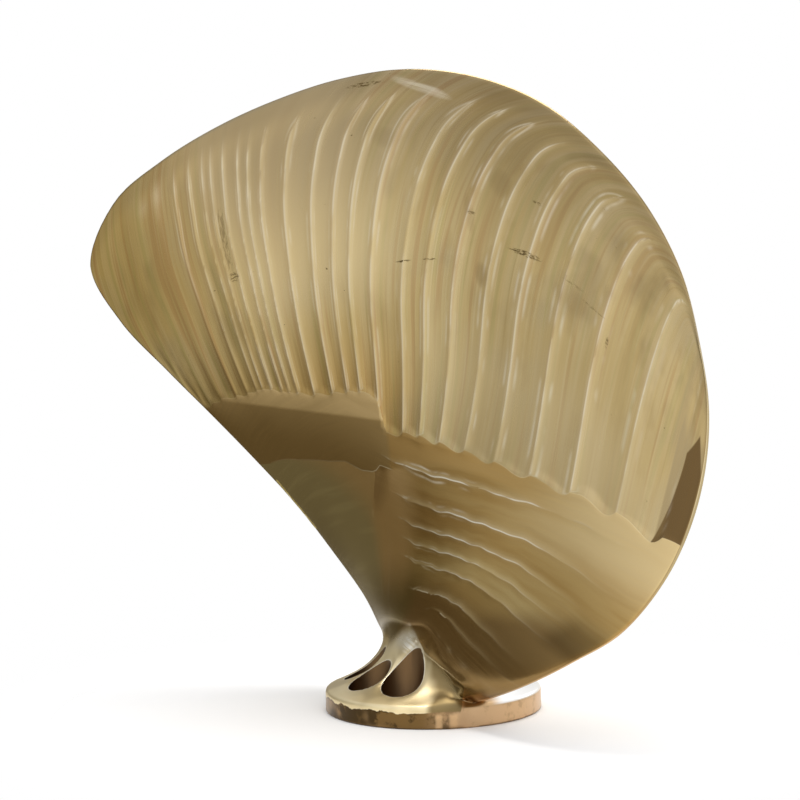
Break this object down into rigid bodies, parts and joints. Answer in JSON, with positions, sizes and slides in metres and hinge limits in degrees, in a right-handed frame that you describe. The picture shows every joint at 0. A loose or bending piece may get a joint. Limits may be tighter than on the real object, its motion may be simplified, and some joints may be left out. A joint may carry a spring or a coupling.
{
  "type": "controllable-pitch propeller blade",
  "caption": "Wide, twisted, skewed bronze blade of a ship's controllable-pitch propeller, cast in one with its round counterbored foot.",
  "frame": {"origin": "middle of the foot's flat underside, where it meets the hub", "axes": "+Z along the spindle axis towards the tip, Y along the ship's shaft with the forward face towards -Y, leading edge on the +X side"},
  "size_m": [1.5024, 1.0331, 1.549],
  "materials": {
    "bronze": "ground and polished nickel aluminium bronze"
  },
  "bodies": {
    "root": {"blade_casting": "bronze"}
  },
  "joints": []
}
